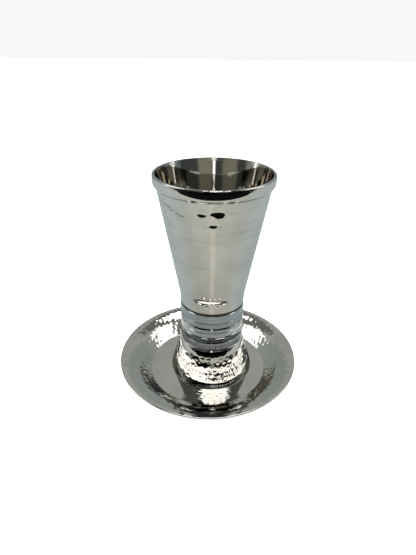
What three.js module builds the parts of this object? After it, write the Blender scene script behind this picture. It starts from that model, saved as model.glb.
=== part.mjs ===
// Kiddush cup standing in its saucer: a tall flared bowl on a stack of turned rings and a
// hammered bell foot, in a shallow saucer with a hammered wall.
// Millimetres, +Z up. Origin: the centre of the saucer's flat underside.

import * as THREE from 'three';

// Saucer, a spun sheet with a flat floor, a hammered wall and a brim that curls nearly to level
const saucerRadius = 61;
const sheet = 1.0;
const floorRadius = 39.8;
const wallSlope = 41;          // degrees from level
const edgeSlope = 2;           // degrees from level, at the rim
const wallFootBend = 1;        // bend between floor and wall, on the upper face
const wallRun = 9.3;
const brimBend = 19.4;

// Where the cup stands in the saucer
const cupPlace = [2.5, 2.8];
const restGap = 0.3;           // kept between pieces that touch

// Foot, a spun bell open below
const footRadius = 28.2;
const footHeight = 25.9;
const footSlope = 104.6;       // degrees from level, leaning inward
const footPlainRun = 3.6;      // plain band under the hammering, along the slope
const footEdge = 0.5;          // rounding of the bottom edge
const shoulderBend = 12;
const shoulderTurn = 20;       // degrees, up to where the lowest ring sits
const topBend = 1.5;
const footDentRows = 7;

// Stack of turned rings between foot and bowl, from the foot up
const ringRadius = 21.0;
const ringChamfer = 0.45;
const rings = [
  { name: 'bottom_ring', height: 5.4, finish: 'satin' },
  { name: 'polished_ring', height: 3.7, finish: 'polished' },
  { name: 'middle_ring', height: 6.8, finish: 'satin', chamferBelow: true, chamferAbove: true },
  { name: 'thin_ring', height: 3.8, finish: 'satin', chamferBelow: true },
  { name: 'top_ring', height: 5.9, finish: 'satin' },
];

// Bowl, a cone with a hemmed lip
const cupHeight = 138.3;
const neckRadius = 18.9;       // recess that leaves a shadow line over the rings
const neckHeight = 0.9;
const coneRadius = 20.2;       // at its lower end
const coneSlope = 80;          // degrees from level
const coneHeight = 76.4;
const bowlWall = 1.2;
const lipRadius = 35.7;
const lipLedgeSlope = 46;      // underside of the lip
const lipEdge = 0.7;           // rounding of the lip's outer top corner
const mouthRadius = 33.9;
const mouthBend = 0.4;
const bowlFloorBend = 4;

// Hammering, as rows of dents, and how finely the turned shapes are cut
const dentDepth = 0.4;
const wallRows = 3;
const brimSteps = 4;
const roundSegments = 60;
const saucerSegments = 96;

const radians = THREE.MathUtils.degToRad;

// A profile drawn as one stroke in the (r, z) plane, counter-clockwise round the metal, so its
// outward side is on the right of the heading. The heading is in degrees from level outward.
class Stroke {
  constructor(r, z, heading) {
    this.r = r;
    this.z = z;
    this.heading = heading;
    this.points = [];
    this.mark();
  }

  mark(dented = false) {
    const angle = radians(this.heading);
    const outward = { r: Math.sin(angle), z: -Math.cos(angle) };
    this.points.push({ r: this.r, z: this.z, outward, dented });
    return this;
  }

  run(length, steps = 1, dented = false) {
    const angle = radians(this.heading);
    for (let i = 0; i < steps; i++) {
      this.r += Math.cos(angle) * length / steps;
      this.z += Math.sin(angle) * length / steps;
      this.mark(dented);
    }
    return this;
  }

  // Turns left for a positive angle, along an arc of the given radius.
  bend(radius, turn, steps = 3, dented = false) {
    const side = Math.sign(turn);
    const start = radians(this.heading);
    const centreR = this.r - side * radius * Math.sin(start);
    const centreZ = this.z + side * radius * Math.cos(start);
    const firstHeading = this.heading;
    for (let i = 1; i <= steps; i++) {
      this.heading = firstHeading + turn * i / steps;
      const angle = radians(this.heading);
      this.r = centreR + side * radius * Math.sin(angle);
      this.z = centreZ - side * radius * Math.cos(angle);
      this.mark(dented);
    }
    return this;
  }

  // Straight to a given point, and on from there under a new heading.
  to(r, z, heading, dented = false) {
    this.r = r;
    this.z = z;
    this.heading = heading;
    return this.mark(dented);
  }
}

// Turns a profile round the axis. Every second vertex of a dented row is pressed in, in
// staggered rows, which leaves a net of shallow dents.
function revolve(points, segments) {
  const outline = points.map((point) => new THREE.Vector2(point.r, point.z));
  const geometry = new THREE.LatheGeometry(outline, segments);
  const position = geometry.attributes.position;
  for (let i = 0; i <= segments; i++) {
    const angle = 2 * Math.PI * (i % segments) / segments;
    points.forEach((point, row) => {
      const depth = point.dented && (i + row) % 2 === 0 ? dentDepth : 0;
      const r = point.r - depth * point.outward.r;
      const z = point.z - depth * point.outward.z;
      position.setXYZ(i * points.length + row, r * Math.sin(angle), z, r * Math.cos(angle));
    });
  }
  geometry.rotateX(Math.PI / 2);
  geometry.computeVertexNormals();
  return geometry;
}

const polished = { color: 0xb9bab5, roughness: 0.06, metalness: 1 };
const finishes = {
  satin: { color: 0x8f989b, roughness: 0.4, metalness: 1 },
  polished: { color: 0x6f7a84, roughness: 0.12, metalness: 1 },
};

function piece(name, geometry, finish) {
  const mesh = new THREE.Mesh(geometry, new THREE.MeshStandardMaterial(finish));
  mesh.name = name;
  return mesh;
}

// The saucer's upper face runs the same way as its underside, one sheet above it. The bends share
// their centres, so the sheet keeps its thickness.
function saucer() {
  const slopeChange = wallSlope - edgeSlope;
  const sketch = new Stroke(0, 0, 0).to(floorRadius, 0, 0);
  sketch.bend(wallFootBend + sheet, wallSlope, 1).run(wallRun);
  sketch.bend(brimBend - sheet, -slopeChange, brimSteps);
  const edgeAngle = radians(edgeSlope);
  const edgeReach = sheet / 2 * (1 - Math.sin(edgeAngle));
  const edgeRun = (saucerRadius - edgeReach - sketch.r) / Math.cos(edgeAngle);
  sketch.run(edgeRun).bend(sheet / 2, 180, 2).run(edgeRun).bend(brimBend, slopeChange, brimSteps);
  sketch.points.at(-1).dented = true;
  sketch.run(wallRun, wallRows, true).bend(wallFootBend, -wallSlope, 1);
  sketch.to(0, sheet, 180);
  return piece('saucer', revolve(sketch.points, saucerSegments), polished);
}

// The bell, drawn from the middle of its closed top down the inside, round the edge and up the
// outside: a plain band, the hammered cone, the shoulder and the top again.
function foot() {
  const lean = radians(footSlope);
  const crown = radians(footSlope + shoulderTurn);
  const coneBottom = footEdge * (1 - Math.cos(lean));
  const shoulderTop = footHeight - topBend * (1 + Math.cos(crown));
  const shoulderFoot = shoulderTop - shoulderBend * (Math.cos(lean) - Math.cos(crown));
  const coneRun = (shoulderFoot - coneBottom) / Math.sin(lean);
  const coneTopRadius = footRadius - footEdge * (1 - Math.sin(lean)) + coneRun * Math.cos(lean);
  const crownRadius = coneTopRadius - shoulderBend * (Math.sin(lean) - Math.sin(crown));
  const topRadius = crownRadius - topBend * Math.sin(crown);
  const bell = new Stroke(0, footHeight - sheet, 0).to(topRadius, footHeight - sheet, 0);
  bell.bend(topBend - sheet, footSlope + shoulderTurn - 180, 1);
  bell.bend(shoulderBend - sheet, -shoulderTurn, 2);
  bell.to(footRadius - sheet - footEdge, footEdge, 270).to(footRadius - footEdge, 0, 0);
  bell.bend(footEdge, footSlope, 2).run(footPlainRun);
  bell.run(coneRun - footPlainRun, footDentRows, true);
  bell.points.at(-1).dented = false;
  bell.bend(shoulderBend, shoulderTurn, 3);
  bell.bend(topBend, 180 - footSlope - shoulderTurn, 1).to(0, footHeight, 180);
  return piece('foot', revolve(bell.points, roundSegments), polished);
}

// One ring of the stack, a solid disc with its edges eased where a groove shows.
function ring(shape, bottom) {
  const top = bottom + shape.height;
  const edge = new Stroke(0, bottom, 0);
  if (shape.chamferBelow) {
    edge.to(ringRadius - ringChamfer, bottom, 0).to(ringRadius, bottom + ringChamfer, 45);
  } else {
    edge.to(ringRadius, bottom, 90);
  }
  if (shape.chamferAbove) {
    edge.to(ringRadius, top - ringChamfer, 90).to(ringRadius - ringChamfer, top, 135);
  } else {
    edge.to(ringRadius, top, 90);
  }
  edge.to(0, top, 180);
  return piece(shape.name, revolve(edge.points, roundSegments), finishes[shape.finish]);
}

// The bowl: neck, cone, the lip's ledge, its band and rounded edge, then straight down the inside,
// a wall's thickness from the cone at the floor.
function bowl(bottom) {
  const coneBottom = bottom + neckHeight;
  const coneTop = coneBottom + coneHeight;
  const coneAngle = radians(coneSlope);
  const coneTopRadius = coneRadius + coneHeight / Math.tan(coneAngle);
  const ledgeTop = coneTop + (lipRadius - coneTopRadius) * Math.tan(radians(lipLedgeSlope));
  const shape = new Stroke(0, bottom, 0).to(neckRadius, bottom, 0).to(neckRadius, coneBottom, 90);
  shape.to(coneRadius, coneBottom, coneSlope).to(coneTopRadius, coneTop, lipLedgeSlope);
  shape.to(lipRadius, ledgeTop, 90).to(lipRadius, cupHeight - lipEdge, 90).bend(lipEdge, 90, 3);
  shape.to(mouthRadius + mouthBend, cupHeight, 180).bend(mouthBend, coneSlope, 3);
  const floorTop = coneBottom + bowlWall;
  const bendStart = floorTop + bowlFloorBend * (1 - Math.cos(coneAngle));
  const outerRadius = coneRadius + (bendStart - coneBottom) / Math.tan(coneAngle);
  shape.to(outerRadius - bowlWall / Math.sin(coneAngle), bendStart, 180 + coneSlope);
  shape.bend(bowlFloorBend, -coneSlope, 4).to(0, floorTop, 180);
  return piece('bowl', revolve(shape.points, roundSegments), polished);
}

const cup = new THREE.Group();
cup.position.set(cupPlace[0], cupPlace[1], sheet + restGap);
cup.add(foot());
let level = footHeight + restGap;
for (const shape of rings) {
  cup.add(ring(shape, level));
  level += shape.height + restGap;
}
cup.add(bowl(level));

const part = new THREE.Group();
part.add(saucer(), cup);

export default part;
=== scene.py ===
import math

import bpy
import numpy as np
from mathutils import Matrix, Vector


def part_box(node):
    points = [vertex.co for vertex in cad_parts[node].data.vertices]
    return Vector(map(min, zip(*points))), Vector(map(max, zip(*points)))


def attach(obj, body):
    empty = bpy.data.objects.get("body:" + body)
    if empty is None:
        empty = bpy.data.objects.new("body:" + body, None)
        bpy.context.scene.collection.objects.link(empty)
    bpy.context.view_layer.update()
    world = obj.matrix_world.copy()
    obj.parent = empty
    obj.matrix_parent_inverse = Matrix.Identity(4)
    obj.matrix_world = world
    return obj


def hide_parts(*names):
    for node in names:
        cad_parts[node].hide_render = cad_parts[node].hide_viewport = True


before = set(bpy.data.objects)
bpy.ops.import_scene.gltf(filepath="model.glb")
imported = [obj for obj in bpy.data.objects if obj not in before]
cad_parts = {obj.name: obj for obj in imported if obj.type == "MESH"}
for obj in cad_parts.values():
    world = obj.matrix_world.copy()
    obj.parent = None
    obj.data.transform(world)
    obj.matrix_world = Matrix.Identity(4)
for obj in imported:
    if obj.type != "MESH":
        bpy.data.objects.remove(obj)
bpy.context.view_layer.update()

mm = 0.001
flatGrain = 4  # millimetres between rings of vertices on a plain flat
bendGrain = 12  # degrees between them on a bend, at most
scene = bpy.context.scene
scene.view_settings.view_transform = "Standard"

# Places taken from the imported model, in millimetres
saucerLow, saucerHigh = (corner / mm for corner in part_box("saucer"))
bowlLow, bowlHigh = (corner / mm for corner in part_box("bowl"))
footLow, footHigh = (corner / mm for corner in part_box("foot"))
saucerCentre = (saucerLow + saucerHigh) / 2
cupCentre = (bowlLow + bowlHigh) / 2


# Turned work

class Pen:
    # Draws a profile as one stroke in the (r, z) plane, counter-clockwise round the metal. Each
    # point also carries how hard the hammer strikes, up to 1, and below 0 where it bulges instead.
    def __init__(self, r, z, heading=0.0, grain=0.5):
        self.r, self.z, self.heading, self.grain = r, z, heading, grain
        self.points = [(r, z, 0.0)]

    def run(self, length, strike=(0.0, 0.0), grain=None):
        steps = max(1, round(length / (grain or self.grain)))
        angle = math.radians(self.heading)
        startR, startZ = self.r, self.z
        for i in range(1, steps + 1):
            share = i / steps
            self.r = startR + math.cos(angle) * length * share
            self.z = startZ + math.sin(angle) * length * share
            self.points.append((self.r, self.z, strike[0] + (strike[1] - strike[0]) * share))
        return self

    def lineTo(self, r, z, strike=(0.0, 0.0), grain=None):
        length = math.hypot(r - self.r, z - self.z)
        self.heading = math.degrees(math.atan2(z - self.z, r - self.r))
        return self.run(length, strike, grain)

    def bend(self, radius, turn, strike=(0.0, 0.0), grain=None):
        side = math.copysign(1, turn)
        arc = abs(math.radians(turn)) * radius
        steps = max(3, round(arc / (grain or self.grain)), round(abs(turn) / bendGrain))
        first = self.heading
        angle = math.radians(first)
        centreR = self.r - side * radius * math.sin(angle)
        centreZ = self.z + side * radius * math.cos(angle)
        for i in range(1, steps + 1):
            share = i / steps
            self.heading = first + turn * share
            angle = math.radians(self.heading)
            self.r = centreR + side * radius * math.sin(angle)
            self.z = centreZ - side * radius * math.cos(angle)
            self.points.append((self.r, self.z, strike[0] + (strike[1] - strike[0]) * share))
        return self


def spin(name, points, turns, centre, bottom):
    # Spins a profile that starts and ends on the axis into a closed mesh with single poles.
    profile = np.array(points)
    inner = profile[1:-1]
    angles = np.linspace(0, 2 * math.pi, turns, endpoint=False)
    ring = np.stack([np.sin(angles), -np.cos(angles)], 1)
    rings = np.zeros((len(inner), turns, 3))
    rings[:, :, :2] = inner[:, None, :1] * ring[None]
    rings[:, :, 2] = inner[:, None, 1]
    poles = [(0, 0, profile[0, 1]), (0, 0, profile[-1, 1])]
    vertices = np.concatenate([rings.reshape(-1, 3), poles])
    vertices += (centre[0], centre[1], bottom)
    first, last = len(vertices) - 2, len(vertices) - 1
    faces = []
    for row in range(len(inner) - 1):
        low, high = row * turns, (row + 1) * turns
        for i in range(turns):
            j = (i + 1) % turns
            faces.append((low + i, low + j, high + j, high + i))
    top = (len(inner) - 1) * turns
    for i in range(turns):
        j = (i + 1) % turns
        faces.append((first, j, i))
        faces.append((last, top + i, top + j))
    mesh = bpy.data.meshes.new(name)
    mesh.from_pydata((vertices * mm).tolist(), [], faces)
    mesh.validate()
    strike = np.concatenate([np.repeat(inner[:, 2], turns), [0, 0]])
    mesh.attributes.new("strike", "FLOAT", "POINT").data.foreach_set("value", strike)
    mesh.shade_smooth()
    piece = bpy.data.objects.new(name, mesh)
    scene.collection.objects.link(piece)
    return piece


# Node helpers

def addMath(tree, operation, a, b=None, c=None, clamp=False):
    node = tree.nodes.new("ShaderNodeMath")
    node.operation = operation
    node.use_clamp = clamp
    for socket, value in zip(node.inputs, (a, b, c)):
        if value is None:
            continue
        if isinstance(value, bpy.types.NodeSocket):
            tree.links.new(value, socket)
        else:
            socket.default_value = value
    return node.outputs[0]


def addRange(tree, value, low, high, outLow=0.0, outHigh=1.0, smooth=True):
    node = tree.nodes.new("ShaderNodeMapRange")
    node.interpolation_type = "SMOOTHSTEP" if smooth else "LINEAR"
    tree.links.new(value, node.inputs["Value"])
    ends = {"From Min": low, "From Max": high, "To Min": outLow, "To Max": outHigh}
    for key, number in ends.items():
        node.inputs[key].default_value = number
    return node.outputs["Result"]


def addMix(tree, share, a, b):
    node = tree.nodes.new("ShaderNodeMix")
    node.data_type = "RGBA"
    for socket, value in ((node.inputs[0], share), (node.inputs[6], a), (node.inputs[7], b)):
        if isinstance(value, bpy.types.NodeSocket):
            tree.links.new(value, socket)
        elif isinstance(value, (int, float)):
            socket.default_value = value
        else:
            socket.default_value = (*value, 1)
    return node.outputs[2]


def addNoise(tree, where, scale, detail):
    node = tree.nodes.new("ShaderNodeTexNoise")
    node.inputs["Scale"].default_value = scale
    node.inputs["Detail"].default_value = detail
    tree.links.new(where, node.inputs["Vector"])
    return node.outputs["Fac"]


def addVectorMath(tree, operation, *vectors):
    node = tree.nodes.new("ShaderNodeVectorMath")
    node.operation = operation
    for socket, vector in zip(node.inputs, vectors):
        tree.links.new(vector, socket)
    return node.outputs[0]


def addSplit(tree, vector):
    node = tree.nodes.new("ShaderNodeSeparateXYZ")
    tree.links.new(vector, node.inputs[0])
    return node.outputs


def addBump(tree, height, distance):
    node = tree.nodes.new("ShaderNodeBump")
    node.inputs["Distance"].default_value = distance
    tree.links.new(height, node.inputs["Height"])
    return node


def newMaterial(name):
    material = bpy.data.materials.new(name)
    material.use_nodes = True
    tree = material.node_tree
    return material, tree, tree.nodes["Principled BSDF"]


# Hammer blows, as Geometry Nodes: staggered rows of points lie on the metal, and each vertex is
# pressed in by its nearest one, as the ball of a hammer would. Each blow has its own force,
# between the two given.

blowLengths = ("First Radius", "First Height", "Row Run", "Row Rise", "Reach", "Depth", "Scatter")
blowForce = (0.5, 1.15)
blowRoundness = 1.6


def blowPoints(tree, given):
    # Rows of points round the piece, with every second row half a step on. Each is shaken a
    # little and then put on the metal.
    nodes, links = tree.nodes, tree.links
    index = nodes.new("GeometryNodeInputIndex").outputs[0]
    around = given["Blows Around"]
    row = addMath(tree, "FLOOR", addMath(tree, "DIVIDE", index, around))
    column = addMath(tree, "SUBTRACT", index, addMath(tree, "MULTIPLY", row, around))
    stagger = addMath(tree, "MULTIPLY", addMath(tree, "MODULO", row, 2.0), 0.5)
    turn = addMath(tree, "DIVIDE", addMath(tree, "ADD", column, stagger), around)
    angle = addMath(tree, "MULTIPLY", turn, 2 * math.pi)
    radius = addMath(tree, "MULTIPLY_ADD", row, given["Row Run"], given["First Radius"])
    height = addMath(tree, "MULTIPLY_ADD", row, given["Row Rise"], given["First Height"])
    place = nodes.new("ShaderNodeCombineXYZ")
    links.new(addMath(tree, "MULTIPLY", radius, addMath(tree, "SINE", angle)), place.inputs[0])
    links.new(addMath(tree, "MULTIPLY", radius, addMath(tree, "COSINE", angle)), place.inputs[1])
    links.new(height, place.inputs[2])

    shake = nodes.new("FunctionNodeRandomValue")
    shake.data_type = "FLOAT_VECTOR"
    shake.inputs["Min"].default_value = (-1, -1, -1)
    links.new(given["Seed"], shake.inputs["Seed"])
    spots = (shake.outputs["Value"], given["Scatter"], place.outputs[0])
    shaken = addVectorMath(tree, "MULTIPLY_ADD", *spots)
    centred = addVectorMath(tree, "ADD", shaken, given["Centre"])
    blows = nodes.new("GeometryNodePoints")
    links.new(addMath(tree, "MULTIPLY", given["Rows"], around), blows.inputs["Count"])
    links.new(centred, blows.inputs["Position"])
    onMetal = nodes.new("GeometryNodeProximity")
    onMetal.target_element = "FACES"
    links.new(given["Geometry"], onMetal.inputs[0])
    snap = nodes.new("GeometryNodeSetPosition")
    links.new(blows.outputs[0], snap.inputs["Geometry"])
    links.new(onMetal.outputs["Position"], snap.inputs["Position"])
    return snap.outputs[0]


def blowDepth(tree, given, points):
    # How far the nearest blow presses each vertex in: its dish, its own force and the metal's share
    nodes, links = tree.nodes, tree.links
    nearest = nodes.new("GeometryNodeProximity")
    nearest.target_element = "POINTS"
    links.new(points, nearest.inputs[0])
    share = addMath(tree, "DIVIDE", nearest.outputs["Distance"], given["Reach"])
    cap = addMath(tree, "SUBTRACT", 1.0, addMath(tree, "MULTIPLY", share, share), clamp=True)
    dish = addMath(tree, "POWER", cap, blowRoundness)
    which = nodes.new("GeometryNodeSampleNearest")
    which.domain = "POINT"
    links.new(points, which.inputs["Geometry"])
    force = nodes.new("FunctionNodeRandomValue")
    force.data_type = "FLOAT"
    scalars = [socket for socket in force.inputs if socket.type == "VALUE"]
    scalars[0].default_value, scalars[1].default_value = blowForce
    links.new(which.outputs[0], force.inputs["ID"])
    links.new(given["Seed"], force.inputs["Seed"])
    forceValue = next(socket for socket in force.outputs if socket.type == "VALUE")
    strike = nodes.new("GeometryNodeInputNamedAttribute")
    strike.data_type = "FLOAT"
    strike.inputs["Name"].default_value = "strike"
    depth = addMath(tree, "MULTIPLY", given["Depth"], strike.outputs["Attribute"])
    depth = addMath(tree, "MULTIPLY", depth, forceValue)
    return addMath(tree, "MULTIPLY", dish, depth)


def hammerTree():
    tree = bpy.data.node_groups.new("hammerBlows", "GeometryNodeTree")
    face = tree.interface
    face.new_socket("Geometry", in_out="INPUT", socket_type="NodeSocketGeometry")
    for name in ("Blows Around", "Rows", "Seed"):
        face.new_socket(name, in_out="INPUT", socket_type="NodeSocketInt")
    for name in blowLengths:
        face.new_socket(name, in_out="INPUT", socket_type="NodeSocketFloat")
    face.new_socket("Centre", in_out="INPUT", socket_type="NodeSocketVector")
    face.new_socket("Finish", in_out="INPUT", socket_type="NodeSocketMaterial")
    face.new_socket("Geometry", in_out="OUTPUT", socket_type="NodeSocketGeometry")
    nodes, links = tree.nodes, tree.links
    given = nodes.new("NodeGroupInput").outputs
    press = addMath(tree, "MULTIPLY", blowDepth(tree, given, blowPoints(tree, given)), -1.0)
    shift = nodes.new("ShaderNodeVectorMath")
    shift.operation = "SCALE"
    links.new(nodes.new("GeometryNodeInputNormal").outputs[0], shift.inputs[0])
    links.new(press, shift.inputs["Scale"])
    pressed = nodes.new("GeometryNodeSetPosition")
    links.new(given["Geometry"], pressed.inputs["Geometry"])
    links.new(shift.outputs[0], pressed.inputs["Offset"])
    real = nodes.new("GeometryNodeRealizeInstances")
    links.new(pressed.outputs[0], real.inputs[0])
    finish = nodes.new("GeometryNodeSetMaterial")
    links.new(real.outputs[0], finish.inputs["Geometry"])
    links.new(given["Finish"], finish.inputs["Material"])
    links.new(finish.outputs[0], nodes.new("NodeGroupOutput").inputs[0])
    return tree


hammerBlows = hammerTree()


def hammer(piece, sizes, centre, finish):
    # Runs the blows over a piece and keeps the result as its plain mesh.
    inputs = [item for item in hammerBlows.interface.items_tree if item.in_out == "INPUT"]
    socketOf = {item.name: item.identifier for item in inputs}
    modifier = piece.modifiers.new("hammering", "NODES")
    modifier.node_group = hammerBlows
    for name, value in sizes.items():
        modifier[socketOf[name]] = value * mm if name in blowLengths else value
    modifier[socketOf["Centre"]] = (centre[0] * mm, centre[1] * mm, 0.0)
    modifier[socketOf["Finish"]] = finish
    piece.update_tag()
    bpy.context.view_layer.update()
    graph = bpy.context.evaluated_depsgraph_get()
    made = bpy.data.meshes.new_from_object(piece.evaluated_get(graph), depsgraph=graph)
    piece.modifiers.clear()
    old = piece.data
    piece.data = made
    bpy.data.meshes.remove(old)
    made.name = piece.name
    made.shade_smooth()


def place(piece, node, slot):
    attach(piece, "root")
    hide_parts(node)


# Finishes

steelLook = {
    "clean": (0.52, 0.51, 0.485),
    "dull": (0.46, 0.45, 0.42),
    # colour of the painted shade in the bowl's dents and along its ripples
    "painted_shade": (0.10, 0.10, 0.09),
    "edgeTint": (0.72, 0.76, 0.8),
    "roughness": {"polishedSteel": (0.03, 0.075), "saucerSteel": (0.05, 0.095)},
    "cloudScale": 60,
    "cloudDetail": 5,
    "dullClouds": (0.35, 0.7),
    "roughClouds": (0.3, 0.75),
    "grainScale": 900,
    "grainDetail": 2,
    "grainDepth": 0.0002,
    "grainStrength": 0.02,
    "nickedFrom": 0.1375,  # metres up, where the rim begins
    "nickedOver": 0.0006,
    "nickStrength": 0.5,
}


def polishedSteel(name):
    # Clouded mirror polish, with painted shade where the piece says so, and nicked along the bowl's
    # rim
    look = steelLook
    material, tree, shader = newMaterial(name)
    shader.inputs["Metallic"].default_value = 1.0
    shader.inputs["Specular Tint"].default_value = (*look["edgeTint"], 1)
    where = tree.nodes.new("ShaderNodeTexCoord").outputs["Object"]
    clouds = addNoise(tree, where, look["cloudScale"], look["cloudDetail"])
    share = addRange(tree, clouds, *look["dullClouds"])
    # painted shade: the bowl's dents and ripples are darkened in the base colour
    paintShade = tree.nodes.new("ShaderNodeAttribute")
    paintShade.attribute_name = "painted_shade"
    colour = addMix(tree, share, look["clean"], look["dull"])
    colour = addMix(tree, paintShade.outputs["Fac"], colour, look["painted_shade"])
    tree.links.new(colour, shader.inputs["Base Color"])
    rough = addRange(tree, clouds, *look["roughClouds"], *look["roughness"][name])
    tree.links.new(rough, shader.inputs["Roughness"])
    grain = addNoise(tree, where, look["grainScale"], look["grainDetail"])
    bump = addBump(tree, grain, look["grainDepth"])
    rim, height = look["nickedFrom"], addSplit(tree, where)[2]
    strengths = (look["grainStrength"], look["nickStrength"])
    nicks = addRange(tree, height, rim, rim + look["nickedOver"], *strengths)
    tree.links.new(nicks, bump.inputs["Strength"])
    tree.links.new(bump.outputs[0], shader.inputs["Normal"])
    return material


latheLook = {
    "squash": (12, 12, 2600),
    "detail": 3,
    "spread": (0.3, 0.7),
    "strength": 0.6,
    "anisotropy": 0.6,
    "satinAluminium": {
        "clean": (0.335, 0.365, 0.38), "dull": (0.285, 0.31, 0.325),
        "roughness": (0.24, 0.36), "lineDepth": 0.00006,
    },
    "polishedAluminium": {
        "clean": (0.36, 0.40, 0.44), "dull": (0.30, 0.34, 0.38),
        "roughness": (0.08, 0.16), "lineDepth": 0.00002,
    },
}


def turnedMetal(name):
    # Metal with fine lines round it, left by the lathe
    look, metal = latheLook, latheLook[name]
    material, tree, shader = newMaterial(name)
    shader.inputs["Metallic"].default_value = 1.0
    shader.inputs["Anisotropic"].default_value = look["anisotropy"]
    where = tree.nodes.new("ShaderNodeTexCoord").outputs["Object"]
    squash = tree.nodes.new("ShaderNodeMapping")
    squash.inputs["Scale"].default_value = look["squash"]
    tree.links.new(where, squash.inputs["Vector"])
    lines = addNoise(tree, squash.outputs[0], 1, look["detail"])
    share = addRange(tree, lines, *look["spread"])
    colour = addMix(tree, share, metal["clean"], metal["dull"])
    tree.links.new(colour, shader.inputs["Base Color"])
    rough = addRange(tree, lines, *look["spread"], *metal["roughness"])
    tree.links.new(rough, shader.inputs["Roughness"])
    bump = addBump(tree, lines, metal["lineDepth"])
    bump.inputs["Strength"].default_value = look["strength"]
    tree.links.new(bump.outputs[0], shader.inputs["Normal"])
    around = tree.nodes.new("ShaderNodeTangent")
    around.direction_type = "RADIAL"
    around.axis = "Z"
    tree.links.new(around.outputs[0], shader.inputs["Tangent"])
    return material


steelFinish = polishedSteel("polishedSteel")
saucerFinish = polishedSteel("saucerSteel")
satinFinish = turnedMetal("satinAluminium")
polishedRingFinish = turnedMetal("polishedAluminium")
print("finishes made")


# Saucer

saucerSizes = {
    "sheet": 1.0,
    "floorRadius": 39.8,
    "wallSlope": 41,
    "brimSlope": 2,
    "wallFootBend": 1.0,
    "wallRun": 9.3,
    "brimBend": 19.4,
    "turns": 600,
    "grain": 0.42,
    "edgeGrain": 0.08,
    "brimStrike": 0.3,
    "wallStrike": 1.0,
    "fade": 1.0,  # where the blows die away at the wall's foot
}
saucerBlows = {
    "Blows Around": 70, "Rows": 6, "Seed": 4,
    "First Radius": 42.0, "First Height": 3.2, "Row Run": 2.9, "Row Rise": 1.9,
    "Reach": 2.6, "Depth": 0.15, "Scatter": 1.1,
}


def makeSaucer():
    size = saucerSizes
    radius = (saucerHigh[0] - saucerLow[0]) / 2
    sheet = size["sheet"]
    change = size["wallSlope"] - size["brimSlope"]
    pen = Pen(0, 0, 0, size["grain"])
    pen.run(size["floorRadius"], grain=flatGrain)
    pen.bend(size["wallFootBend"] + sheet, size["wallSlope"]).run(size["wallRun"])
    pen.bend(size["brimBend"] - sheet, -change)
    edge = math.radians(size["brimSlope"])
    edgeReach = sheet / 2 * (1 - math.sin(edge))
    edgeRun = (radius - edgeReach - pen.r) / math.cos(edge)
    pen.run(edgeRun).bend(sheet / 2, 180, grain=size["edgeGrain"])
    faint, full, fade = size["brimStrike"], size["wallStrike"], size["fade"]
    pen.run(edgeRun).bend(size["brimBend"], change, (faint, full))
    pen.run(size["wallRun"] - fade, (full, full)).run(fade, (full, 0))
    pen.bend(size["wallFootBend"], -size["wallSlope"])
    pen.run(size["floorRadius"] - sheet, grain=flatGrain)
    pen.points[-1] = (0, sheet, 0)
    piece = spin("saucerSheet", pen.points, size["turns"], saucerCentre, saucerLow[2])
    hammer(piece, saucerBlows, saucerCentre, saucerFinish)
    place(piece, "saucer", "polished_steel")
    print("saucer", len(piece.data.polygons))


makeSaucer()


# Foot

footSizes = {
    "sheet": 1.0,
    "slope": 105.4,
    "plainRun": 3.6,
    "edge": 0.5,
    "shoulderBend": 28,
    "shoulderTurn": 10.3,
    "topBend": 1.05,
    "radius": 28.2,
    "fade": 1.0,  # where the blows begin above the plain band
    "shoulderStrike": 0.1,
    "turns": 440,
    "grain": 0.36,
    "edgeGrain": 0.1,
    "insideGrains": (0.3, 1, 3, 1.5),  # top bend, shoulder, cone and edge
}
footBlows = {
    "Blows Around": 35, "Rows": 6, "Seed": 9,
    "First Radius": 26.4, "First Height": 5.6, "Row Run": -0.87, "Row Rise": 3.45,
    "Reach": 2.1, "Depth": 0.075, "Scatter": 0.5,
}


def makeFoot():
    size = footSizes
    radius = size["radius"]
    height = footHigh[2] - footLow[2]
    sheet, slope, turn = size["sheet"], size["slope"], size["shoulderTurn"]
    lean, crown = math.radians(slope), math.radians(slope + turn)
    bend, topBend = size["shoulderBend"], size["topBend"]
    edge, plain, fade = size["edge"], size["plainRun"], size["fade"]
    pen = Pen(radius - edge, 0, 0, size["grain"])
    pen.bend(edge, slope, grain=size["edgeGrain"])
    shoulderTop = height - topBend * (1 + math.cos(crown))
    shoulderFoot = shoulderTop - bend * (math.cos(lean) - math.cos(crown))
    coneRun = (shoulderFoot - pen.z) / math.sin(lean)
    pen.run(plain).run(fade, (0, 1)).run(coneRun - plain - fade, (1, 1))
    pen.bend(bend, turn, (1, size["shoulderStrike"])).bend(topBend, 180 - slope - turn)
    topRadius = pen.r
    pen.run(topRadius, grain=flatGrain)
    outside = pen.points[:-1] + [(0, height, 0)]
    topGrain, shoulderGrain, coneGrain, edgeGrain = size["insideGrains"]
    inner = Pen(0, height - sheet, 0, edgeGrain)
    inner.run(topRadius, grain=flatGrain)
    inner.bend(topBend - sheet, slope + turn - 180, grain=topGrain)
    inner.bend(bend - sheet, -turn, grain=shoulderGrain)
    inner.lineTo(radius - edge - sheet, edge, grain=coneGrain).lineTo(radius - edge, 0)
    pen.points = inner.points + outside[1:]
    piece = spin("footBell", pen.points, size["turns"], cupCentre, footLow[2])
    blows = dict(footBlows)
    blows["First Height"] += footLow[2]
    hammer(piece, blows, cupCentre, steelFinish)
    place(piece, "foot", "polished_steel")
    print("foot", len(piece.data.polygons))


makeFoot()


# Stack of rings. Lower and upper are each ring's bevels, as run inward and rise. A taper draws the
# lower edge in, and a groove is given by its height.

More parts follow.
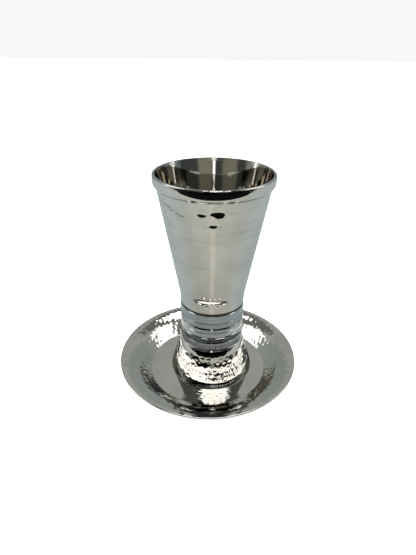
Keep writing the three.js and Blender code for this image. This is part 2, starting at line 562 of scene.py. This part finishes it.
satin = {"finish": satinFinish, "slot": "satin_rings"}
polished = {"finish": polishedRingFinish, "slot": "polished_ring"}
ringLooks = {
    "bottom_ring": {**satin, "lower": (0.12, 0.12), "upper": (0.1, 0.1)},
    "polished_ring": {**polished, "lower": (0.1, 0.1), "upper": (0.35, 0.2), "taper": 0.3},
    "middle_ring": {**satin, "lower": (0.5, 0.5), "upper": (0.34, 0.48), "groove": 3.8},
    "thin_ring": {**satin, "lower": (0.45, 0.45), "upper": (0.08, 0.08)},
    "top_ring": {**satin, "lower": (0.08, 0.08), "upper": (0.25, 0.25)},
}
ringSizes = {
    "turns": 256,
    "grain": 0.8,
    "bevelGrain": 0.15,
    "grooveGrain": 0.1,
    "grooveDepth": 0.22,
    "bevelTilt": (0.3, 0.95),  # upright share of a bevel's normal
    "sharpFrom": 25,
}


def makeRing(node, look):
    size = ringSizes
    low, high = (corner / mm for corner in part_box(node))
    radius = (high[0] - low[0]) / 2
    height = high[2] - low[2]
    pen = Pen(0, 0, 0, size["grain"])
    lowRadius = radius - look.get("taper", 0)
    lowRun, lowRise = look["lower"]
    highRun, highRise = look["upper"]
    pen.run(lowRadius - lowRun, grain=flatGrain)
    pen.lineTo(lowRadius, lowRise, grain=size["bevelGrain"])
    if "groove" in look:
        level, cut = look["groove"], size["grooveDepth"]
        pen.lineTo(radius, level - cut)
        pen.lineTo(radius - cut, level, grain=size["grooveGrain"])
        pen.lineTo(radius, level + cut, grain=size["grooveGrain"])
    pen.lineTo(radius, height - highRise)
    pen.lineTo(radius - highRun, height, grain=size["bevelGrain"])
    pen.heading = 180
    pen.run(radius - highRun, grain=flatGrain)
    pen.points[-1] = (0, height, 0)
    piece = spin(node + "Turned", pen.points, size["turns"], cupCentre, low[2])
    # the bevels are cut last, and bright
    piece.data.materials.append(look["finish"])
    piece.data.materials.append(steelFinish)
    least, most = size["bevelTilt"]
    for face in piece.data.polygons:
        face.material_index = int(least < abs(face.normal.z) < most)
    piece.data.set_sharp_from_angle(angle=math.radians(size["sharpFrom"]))
    place(piece, node, look["slot"])


for node, look in ringLooks.items():
    makeRing(node, look)
print("rings")


# Bowl

bowlSizes = {
    "wall": 1.4,
    "neckRadius": 18.9,
    "neckHeight": 1.3,
    "neckEdge": 0.2,
    "coneRadius": 20.27,
    "coneSlope": 80,
    "coneHeight": 76.2,
    "coneEdge": 0.15,
    "coneFootStart": 10.8,
    "coneFootBends": ((60, -1.6), (38, 9.6)),  # radius and turn, from the top down
    "coneFootEnd": 0.2,  # left straight above the neck
    "faintStrike": 0.2,
    "fullStrike": 22,  # how far under the lip the blows have grown to full
    "ledgeSlope": 46,
    "ledgeBends": (0.6, 1.2),
    "bandCurve": (14, 79, 98),  # radius, and slope at its foot and its top
    "lipEdge": 0.3,
    "mouthRadius": 33.9,
    "mouthBend": 0.07,
    "mouthSlope": 78,
    "mouthRun": 11,
    "mouthEase": 100,
    "floorBend": 4,
    "innerFade": 40,  # height over which the blows die away towards the floor
    "turns": 360,
    "grain": 0.5,
    "edgeGrain": 0.1,
    "neckGrain": 0.3,
    "coneGrain": 0.75,
    "coneFootGrain": 0.45,
    "bandGrain": 0.25,
    "rimGrains": (0.15, 0.4, 0.04),
    "innerGrain": 1.2,
    "sharpFrom": 38,
    "innerDents": 0.35,  # share of a dent that shows inside
    "dentsBeyond": 10,  # from the axis
    "shadeEdge": 1.6,  # over 1, so a painted shade oval is even in its middle
}
bowlBlows = {
    "Blows Around": 26, "Rows": 9, "Seed": 3,
    "First Radius": 23.5, "First Height": 76.0, "Row Run": 1.22, "Row Rise": 6.9,
    "Reach": 6.0, "Depth": 0.045, "Scatter": 0.9,
}

# Dents in the side, from knocks: degrees round from the front, height above the bowl's underside,
# half width, half height and depth. The dents' dark painted shade is listed again, with how dark
# it is in place of the depth.
bowlDents = [
    (4.6, 73.6, 4.4, 4.8, 0.44),
    (-0.5, 72.7, 3.6, 2.2, 0.15),
    (-12.0, 72.0, 4.4, 2.8, 0.26),
    (-0.9, 65.7, 4.0, 2.6, 0.34),
    (-35.0, 71.0, 3.6, 2.4, 0.2),
    (-49.0, 72.0, 3.0, 2.2, 0.2),
    (-59.0, 72.6, 2.6, 2.2, 0.2),
    (-51.0, 63.5, 2.4, 3.0, 0.15),
    (17.0, 71.6, 3.0, 2.2, 0.09),
    (-13.0, 13.2, 1.6, 1.4, 0.1),
    (-3.0, 12.8, 1.4, 1.2, 0.1),
    (3.5, 13.0, 1.4, 1.2, 0.1),
    (12.0, 13.2, 1.6, 1.3, 0.1),
    (-22.0, 7.6, 2.4, 1.5, 0.1),
    (-10.0, 6.6, 3.2, 1.9, 0.2),
    (-1.0, 8.2, 2.0, 1.4, 0.1),
    (9.5, 6.8, 3.0, 1.9, 0.2),
    (20.0, 7.8, 2.4, 1.5, 0.1),
]
# Painted shade in the dents: degrees round, height, half width, half height and how dark
bowlShadeMarks = [
    (-33.0, 68.6, 2.6, 0.6, 0.7),
    (-37.5, 69.6, 1.8, 0.6, 0.6),
    (-45.0, 70.6, 1.8, 0.6, 0.8),
    (-49.0, 71.8, 1.8, 0.6, 0.8),
    (-56.0, 72.4, 1.6, 0.7, 0.8),
    (-60.0, 73.8, 1.2, 0.7, 0.8),
    (-52.0, 61.0, 0.8, 1.6, 0.4),
    (17.5, 71.6, 2.6, 0.6, 0.3),
]
ripples = {
    "heights": (71.8, 64.2, 59.5, 54.0, 46.7, 36.0), "around": 9, "seed": 5,
    "turnShift": 0.4, "levelShift": 0.8,
    "halfHeight": 2.4, "tallShare": (0.7, 1.3), "halfWidth": (8, 15),
    "depth": 0.06, "depthShare": (0.5, 1.5),
    # faint painted shade along each row of dents
    "paintShade": 0.16, "shadeShare": (0.2, 1), "shadeWide": 0.8, "shadeTall": 0.45,
}


def spinningMarks():
    # Shallow dents in rows, left where the sheet was pressed over its form, and faint painted shade
    # along them
    size = ripples
    chance = np.random.default_rng(size["seed"])
    around, shift, drift = size["around"], size["turnShift"], size["levelShift"]
    marks, shadeMarks = [], []
    for height in size["heights"]:
        for i in range(around):
            angle = 360 * (i + chance.uniform(-shift, shift)) / around
            tall = size["halfHeight"] * chance.uniform(*size["tallShare"])
            wide = chance.uniform(*size["halfWidth"])
            level = height + chance.uniform(-drift, drift)
            depth = size["depth"] * chance.uniform(*size["depthShare"])
            dark = size["paintShade"] * chance.uniform(*size["shadeShare"])
            marks.append((angle, level, wide, tall, depth))
            shadeMarks.append((angle, level, wide * size["shadeWide"], tall * size["shadeTall"], dark))
    return marks, shadeMarks


def bowlPoints(mesh):
    # Each vertex in millimetres, its distance from the axis and its degrees round from the front
    points = np.empty(len(mesh.vertices) * 3)
    mesh.vertices.foreach_get("co", points)
    points = points.reshape(-1, 3) / mm
    x, y = points[:, 0] - cupCentre[0], points[:, 1] - cupCentre[1]
    return points, np.maximum(np.hypot(x, y), 0.001), np.degrees(np.arctan2(x, -y))


def onOutside(height, radius):
    slope = 1 / math.tan(math.radians(bowlSizes["coneSlope"]))
    return radius > bowlSizes["coneRadius"] - bowlSizes["wall"] / 2 + height * slope


def inOval(mark, height, radius, angle):
    # 1 in the middle of a mark, 0 on its edge and less beyond it
    turn, level, wide, tall = mark[:4]
    across = np.radians((angle - turn + 180) % 360 - 180) * radius / wide
    along = (height - level) / tall
    return 1 - across ** 2 - along ** 2


def dent(piece, bottom, marks):
    # Presses shallow oval dents into the bowl. They show less inside, where the wall evens out.
    mesh = piece.data
    points, radius, angle = bowlPoints(mesh)
    height = points[:, 2] - bottom
    push = np.zeros(len(points))
    for mark in marks:
        push += mark[-1] * np.maximum(inOval(mark, height, radius, angle), 0) ** 2
    inner = bowlSizes["innerDents"]
    push *= np.where(onOutside(height, radius), 1, inner) * (radius > bowlSizes["dentsBeyond"])
    for axis in (0, 1):
        points[:, axis] -= push * (points[:, axis] - cupCentre[axis]) / radius
    mesh.vertices.foreach_set("co", (points * mm).ravel())
    mesh.update()


def paintShade(piece, bottom, marks):
    # Writes how much painted shade each vertex of the bowl has, in small ovals on its outside.
    mesh = piece.data
    points, radius, angle = bowlPoints(mesh)
    height = points[:, 2] - bottom
    dark = np.zeros(len(points))
    for mark in marks:
        oval = bowlSizes["shadeEdge"] * inOval(mark, height, radius, angle)
        dark = np.maximum(dark, mark[-1] * np.clip(oval, 0, 1))
    dark *= onOutside(height, radius)
    mesh.attributes.new("painted_shade", "FLOAT", "POINT").data.foreach_set("value", dark)


def drawCone(pen, coneTopRadius, coneTop):
    # Up the outside: neck, the cone's foot, which draws in, and the cone to under the lip
    size = bowlSizes
    tilt = math.tan(math.radians(size["coneSlope"]))
    neckRadius, neckHeight, neckEdge = size["neckRadius"], size["neckHeight"], size["neckEdge"]
    edgeGrain, coneEdge, footStart = size["edgeGrain"], size["coneEdge"], size["coneFootStart"]
    pen.run(neckRadius - neckEdge, grain=flatGrain).bend(neckEdge, 90, grain=edgeGrain)
    pen.lineTo(neckRadius, neckHeight, grain=size["neckGrain"])
    pen.lineTo(size["coneRadius"] - coneEdge, neckHeight, grain=size["neckGrain"])
    pen.bend(coneEdge, size["coneSlope"], grain=edgeGrain)
    topRadius, topHeight = size["coneRadius"] + footStart / tilt, neckHeight + footStart
    coneFoot = Pen(topRadius, topHeight, size["coneSlope"] + 180, size["coneFootGrain"])
    for bendRadius, turn in size["coneFootBends"]:
        coneFoot.bend(bendRadius, turn)
    coneFoot.run(coneFoot.z - neckHeight - size["coneFootEnd"])
    pen.points += [(r, z, 0.0) for r, z, strike in reversed(coneFoot.points)]
    pen.r, pen.z = coneFoot.points[0][:2]
    full, strikes = size["fullStrike"], (size["faintStrike"], 1)
    pen.lineTo(coneTopRadius - full / tilt, coneTop - full, strikes, grain=size["coneGrain"])
    pen.lineTo(coneTopRadius, coneTop, (1, 1))


def drawLip(pen, radius, height):
    # The ledge under the lip, the lip's bulging band, its flat top and the bend into the mouth
    size = bowlSizes
    ledge, (lowBend, highBend) = size["ledgeSlope"], size["ledgeBends"]
    bandRadius, bandLow, bandHigh = size["bandCurve"]
    edge, edgeGrain, bandGrain = size["lipEdge"], size["edgeGrain"], size["bandGrain"]
    edgeStep, topStep, mouthStep = size["rimGrains"]
    slopes = [math.radians(slope) for slope in (ledge, bandLow, bandHigh)]
    ledgeRise, bandRise = math.sin(slopes[0]), math.sin(slopes[1])
    pen.heading = size["coneSlope"]
    pen.bend(lowBend, ledge - size["coneSlope"], grain=edgeGrain)
    bulge = highBend * (bandRise - ledgeRise) + bandRadius * (1 - bandRise)
    pen.run((radius - pen.r - bulge) / math.cos(slopes[0]), grain=bandGrain)
    pen.bend(highBend, bandLow - ledge, grain=edgeGrain)
    pen.bend(bandRadius, 90 - bandLow, grain=bandGrain)
    rest = bandRadius * -math.cos(slopes[2]) + edge
    pen.lineTo(radius, height - rest).bend(bandRadius, bandHigh - 90, grain=bandGrain)
    pen.lineTo(pen.r - edge, height, grain=edgeStep)
    pen.lineTo(size["mouthRadius"] + size["mouthBend"], height, grain=topStep)
    pen.heading = 180
    pen.bend(size["mouthBend"], size["mouthSlope"], grain=mouthStep)


def drawInside(pen):
    # Down the inside, one wall in from the cone, to the middle of the floor. The blows come from
    # outside, so they bulge here.
    size = bowlSizes
    fine, fade = size["innerGrain"], size["innerFade"]
    bend, slope = size["floorBend"], size["coneSlope"]
    lean = math.radians(slope)
    offset = size["wall"] / math.sin(lean)

    def innerRadius(z):
        return size["coneRadius"] - offset + (z - size["neckHeight"]) / math.tan(lean)

    pen.run(size["mouthRun"], grain=fine)
    pen.bend(size["mouthEase"], slope - size["mouthSlope"], grain=fine)
    floorTop = size["neckHeight"] + size["wall"]
    bendStart = floorTop + bend * (1 - math.cos(lean))
    pen.lineTo(innerRadius(bendStart + fade), bendStart + fade, (-1, -1), grain=fine)
    pen.lineTo(innerRadius(bendStart), bendStart, (-1, 0), grain=2 * fine)
    pen.bend(bend, -slope, grain=size["grain"])
    pen.run(pen.r, grain=flatGrain)
    pen.points[-1] = (0, floorTop, 0)


def makeBowl():
    size = bowlSizes
    height = bowlHigh[2] - bowlLow[2]
    radius = (bowlHigh[0] - bowlLow[0]) / 2
    tilt = math.tan(math.radians(size["coneSlope"]))
    coneTopRadius = size["coneRadius"] + size["coneHeight"] / tilt
    pen = Pen(0, 0, 0, size["grain"])
    drawCone(pen, coneTopRadius, size["neckHeight"] + size["coneHeight"])
    drawLip(pen, radius, height)
    drawInside(pen)
    piece = spin("bowlShell", pen.points, size["turns"], cupCentre, bowlLow[2])
    hammer(piece, bowlBlows, cupCentre, steelFinish)
    marks, shadeMarks = spinningMarks()
    dent(piece, bowlLow[2], bowlDents + marks)
    paintShade(piece, bowlLow[2], bowlShadeMarks + shadeMarks)
    piece.data.set_sharp_from_angle(angle=math.radians(size["sharpFrom"]))
    place(piece, "bowl", "polished_steel")
    print("bowl", len(piece.data.polygons))


makeBowl()


# Floor, pale to the camera and greyer to the metal that mirrors it, with painted shade that is
# darker near the cup and a painted light streak straight ahead. Lengths are in metres.

black = (0.002, 0.002, 0.003)
floorLook = {
    "reach": 6.0,
    "drop": 0.00005,  # just under the saucer
    "seen": (0.86, 0.87, 0.88),
    "lift": 0.85,
    "roughness": 0.9,
    "specular": 0.1,
    # painted shade in what the metal mirrors: darker near the cup, lighter farther off
    "near": (0.42, 0.42, 0.38),
    "far": (0.50, 0.51, 0.46),
    "nearToFar": (0.06, 0.17),
    # painted light streak straight ahead, which the metal mirrors as a light line
    "paintedStreak": (0.60, 0.60, 0.54),
    "streakShare": 0.7,
    "streakSides": (1, 11),  # degrees off straight ahead
    "side": (0.44, 0.475, 0.475),
    "sideTurns": (35, 85),
    "darkBeyond": (0.2, 0.206),
}


def makeFloor():
    look = floorLook
    reach, drop = look["reach"], look["drop"]
    mesh = bpy.data.meshes.new("floor")
    corners = [(-reach, -reach), (reach, -reach), (reach, reach), (-reach, reach)]
    mesh.from_pydata([(x, y, -drop) for x, y in corners], [], [(0, 1, 2, 3)])
    floor = bpy.data.objects.new("floor", mesh)
    scene.collection.objects.link(floor)
    material, tree, shader = newMaterial("paleFloor")
    shader.inputs["Roughness"].default_value = look["roughness"]
    shader.inputs["Specular IOR Level"].default_value = look["specular"]
    x, y, z = addSplit(tree, tree.nodes.new("ShaderNodeTexCoord").outputs["Object"])
    ahead = addMath(tree, "MULTIPLY", y, -1.0)
    across = addMath(tree, "ABSOLUTE", x)
    side = addMath(tree, "DEGREES", addMath(tree, "ARCTAN2", across, ahead))
    # painted shade and a painted light streak, seen only in the metal's reflections
    away = addRange(tree, ahead, *look["nearToFar"], smooth=False)
    paintedStreak = addRange(tree, side, *look["streakSides"], look["streakShare"], 0.0)
    mirrored = addMix(tree, away, look["near"], look["far"])
    mirrored = addMix(tree, paintedStreak, mirrored, look["paintedStreak"])
    mirrored = addMix(tree, addRange(tree, side, *look["sideTurns"]), mirrored, look["side"])
    mirrored = addMix(tree, addRange(tree, ahead, *look["darkBeyond"]), mirrored, black)
    seen = tree.nodes.new("ShaderNodeLightPath").outputs["Is Camera Ray"]
    tree.links.new(addMix(tree, seen, mirrored, look["seen"]), shader.inputs["Base Color"])
    shader.inputs["Emission Color"].default_value = (1, 1, 1, 1)
    tree.links.new(addMath(tree, "MULTIPLY", seen, look["lift"]), shader.inputs["Emission Strength"])
    mesh.materials.append(material)


makeFloor()


# Board, low and black, in front of the onlooker. Only the metal sees it, and it darkens the foot.

boardSizes = {
    "ahead": 0.6,
    "half": 0.8,
    "height": 0.125,
}


def makeBoard():
    size = boardSizes
    half, y, height = size["half"], -size["ahead"], size["height"]
    corners = [(-half, y, 0), (half, y, 0), (half, y, height), (-half, y, height)]
    mesh = bpy.data.meshes.new("board")
    mesh.from_pydata(corners, [], [(0, 1, 2, 3)])
    board = bpy.data.objects.new("board", mesh)
    scene.collection.objects.link(board)
    board.visible_camera = False
    material, tree, shader = newMaterial("blackBoard")
    shader.inputs["Base Color"].default_value = (*black, 1)
    shader.inputs["Roughness"].default_value = 1.0
    shader.inputs["Specular IOR Level"].default_value = 0.0
    mesh.materials.append(material)


makeBoard()


# Room round the metal. Rise is in degrees up from level. Side is in degrees round from the
# onlooker, 180 straight behind, and turned is the same with its sign. Three figures are lowest,
# highest and softness, and two are where a change begins and ends.

roomLook = {
    "seen": (0.93, 0.94, 0.95),
    "footWall": (0.355, 0.39, 0.38),
    "walls": (
        {"rise": (-5, 12), "colour": (0.435, 0.475, 0.465)},
        {"rise": (34, 39), "colour": (0.55, 0.57, 0.54)},
        {"rise": (46, 51), "colour": (0.22, 0.23, 0.22)},
    ),
    # the opening where the onlooker stands, and how much wider it is low down
    "openingEnd": (60, 72),
    "wider": 24.0,
    "widerBelow": (14, 22),
    "aboveOnlooker": (0.004, 0.004, 0.005),
    "onlookerTop": (18, 26),
    # what stands round the onlooker, and the dark between
    "bands": (
        {"from": -120, "to": -70, "colour": (0.38, 0.39, 0.35)},
        {"from": -49, "to": -18, "colour": (0.29, 0.28, 0.22)},
        {"from": 3, "to": 33, "colour": (0.32, 0.31, 0.24)},
        {"from": 74, "to": 120, "colour": (0.26, 0.30, 0.29)},
    ),
    "bandEdge": 9,
    "between": (0.075, 0.085, 0.08),
    # inside the bowl: where the room comes again, the bright slit in it, and warm stripes deeper
    "inside": {"rise": (-20, 44, 4), "sideFrom": (52, 66)},
    "slit": {"turned": (-1.8, 1.8, 1.2), "light": (3.0, 3.0, 2.9)},
    "stripes": {"rise": (-20, 50, 6), "pace": 0.13, "crest": (0.7, 0.95), "light": (3.4, 2.6, 1.8)},
    "lamps": (
        {"rise": (34, 54, 6), "side": (74, 118, 8), "light": (2.6, 2.65, 2.65)},
        {"rise": (5, 40, 2), "side": (-5, 2.4, 1.5), "light": (3.0, 3.0, 3.0)},
        {"rise": (-5, 15, 3), "side": (88, 95, 1.5), "light": (2.6, 2.6, 2.4)},
    ),
    # an oval in the ceiling, as shares of the ceiling's height
    "overhead": {
        "centre": (0.05, 0.13), "half": (0.38, 0.48), "edge": (0.9, 1.15),
        "light": (4.6, 4.6, 4.6),
    },
}


def makeRoom():
    # Pale for the camera. For the metal, a tent of grey walls with a lamp overhead, one high on
    # each side, slits of light at the sides and in front, and the dark opening with the onlooker.
    look = roomLook
    world = bpy.data.worlds.new("studio")
    scene.world = world
    world.use_nodes = True
    tree = world.node_tree
    background = tree.nodes["Background"]
    x, y, z = addSplit(tree, tree.nodes.new("ShaderNodeTexCoord").outputs["Generated"])
    path = tree.nodes.new("ShaderNodeLightPath").outputs

    def times(a, b):
        return addMath(tree, "MULTIPLY", a, b)

    def less(a, b):
        return addMath(tree, "SUBTRACT", a, b)

    def degreesRound(over):
        return addMath(tree, "DEGREES", addMath(tree, "ARCTAN2", over, times(y, -1.0)))

    def window(value, low, high, soft):
        rising = addRange(tree, value, low - soft / 2, low + soft / 2)
        return times(rising, addRange(tree, value, high - soft / 2, high + soft / 2, 1.0, 0.0))

    def bandsAt(angle):
        shade = look["between"]
        for band in look["bands"]:
            share = window(angle, band["from"], band["to"], look["bandEdge"])
            shade = addMix(tree, share, shade, band["colour"])
        return shade

    def mirroredTimes(least):
        return addMath(tree, "GREATER_THAN", path["Glossy Depth"], least - 0.5)

    rise = addMath(tree, "DEGREES", addMath(tree, "ARCSINE", z))
    side = degreesRound(addMath(tree, "ABSOLUTE", x))
    turned = degreesRound(x)
    wall = look["footWall"]
    for band in look["walls"]:
        wall = addMix(tree, addRange(tree, rise, *band["rise"]), wall, band["colour"])
    above = addRange(tree, rise, *look["onlookerTop"])
    onlooker = addMix(tree, above, bandsAt(turned), look["aboveOnlooker"])
    low = addRange(tree, rise, *look["widerBelow"], look["wider"], 0.0)
    room = addMix(tree, addRange(tree, less(side, low), *look["openingEnd"]), onlooker, wall)

    # Inside the bowl the metal mirrors itself, and what reaches it over the far rim is the same
    # room again at twice the angle
    again = times(mirroredTimes(2), window(rise, *look["inside"]["rise"]))
    again = times(again, addRange(tree, side, *look["inside"]["sideFrom"]))
    folded = times(times(less(side, 180.0), 0.5), addMath(tree, "SIGN", x))
    slit = window(folded, *look["slit"]["turned"])
    room = addMix(tree, again, room, addMix(tree, slit, bandsAt(folded), look["slit"]["light"]))
    stripes = look["stripes"]
    crests = addRange(tree, addMath(tree, "SINE", times(turned, stripes["pace"])), *stripes["crest"])
    deep = times(mirroredTimes(3), window(rise, *stripes["rise"]))
    room = addMix(tree, times(crests, deep), room, stripes["light"])
    for lamp in look["lamps"]:
        shape = times(window(rise, *lamp["rise"]), window(side, *lamp["side"]))
        room = addMix(tree, shape, room, lamp["light"])

    def across(value, centre, half):
        flat = addMath(tree, "DIVIDE", value, addMath(tree, "MAXIMUM", z, 0.01))
        share = addMath(tree, "DIVIDE", less(flat, centre), half)
        return times(share, share)

    overhead = look["overhead"]
    (centreX, centreY), (halfX, halfY) = overhead["centre"], overhead["half"]
    oval = addMath(tree, "ADD", across(x, centreX, halfX), across(y, centreY, halfY))
    room = addMix(tree, addRange(tree, oval, *overhead["edge"], 1.0, 0.0), room, overhead["light"])
    room = addMix(tree, path["Is Camera Ray"], room, look["seen"])
    tree.links.new(room, background.inputs["Color"])
    background.inputs["Strength"].default_value = 1.0


makeRoom()


# Soft lights for the floor, which the metal doesn't mirror

softLights = {
    "keyLight": {"place": (-0.9, -0.7, 1.6), "power": 22},
    "fillLight": {"place": (1.1, 0.9, 1.5), "power": 16},
}
softAim = (0, 0, 0.05)
softWidth = 1.6


def softLight(name, place, power):
    data = bpy.data.lights.new(name, "AREA")
    data.shape = "DISK"
    data.size = softWidth
    data.energy = power
    light = bpy.data.objects.new(name, data)
    light.location = place
    light.rotation_euler = (Vector(softAim) - Vector(place)).to_track_quat("-Z", "Y").to_euler()
    light.visible_glossy = False
    scene.collection.objects.link(light)


for name, light in softLights.items():
    softLight(name, light["place"], light["power"])


# Camera

cameraView = {
    "place": (-0.0004, -0.23215, 0.20353),
    "pitch": 29.476,
    "roll": 0.634,
    "sensor": 36,
    "focalShare": 0.749,
    "clipStart": 0.01,
}


def makeCamera():
    view = cameraView
    data = bpy.data.cameras.new("camera")
    data.sensor_width = view["sensor"]
    data.lens = data.sensor_width * view["focalShare"]
    data.clip_start = view["clipStart"]
    camera = bpy.data.objects.new("camera", data)
    tilt = Matrix.Rotation(math.radians(90 - view["pitch"]), 4, "X")
    turn = tilt @ Matrix.Rotation(math.radians(view["roll"]), 4, "Z")
    camera.matrix_world = Matrix.Translation(view["place"]) @ turn
    scene.collection.objects.link(camera)
    scene.camera = camera


makeCamera()
print("stage made")
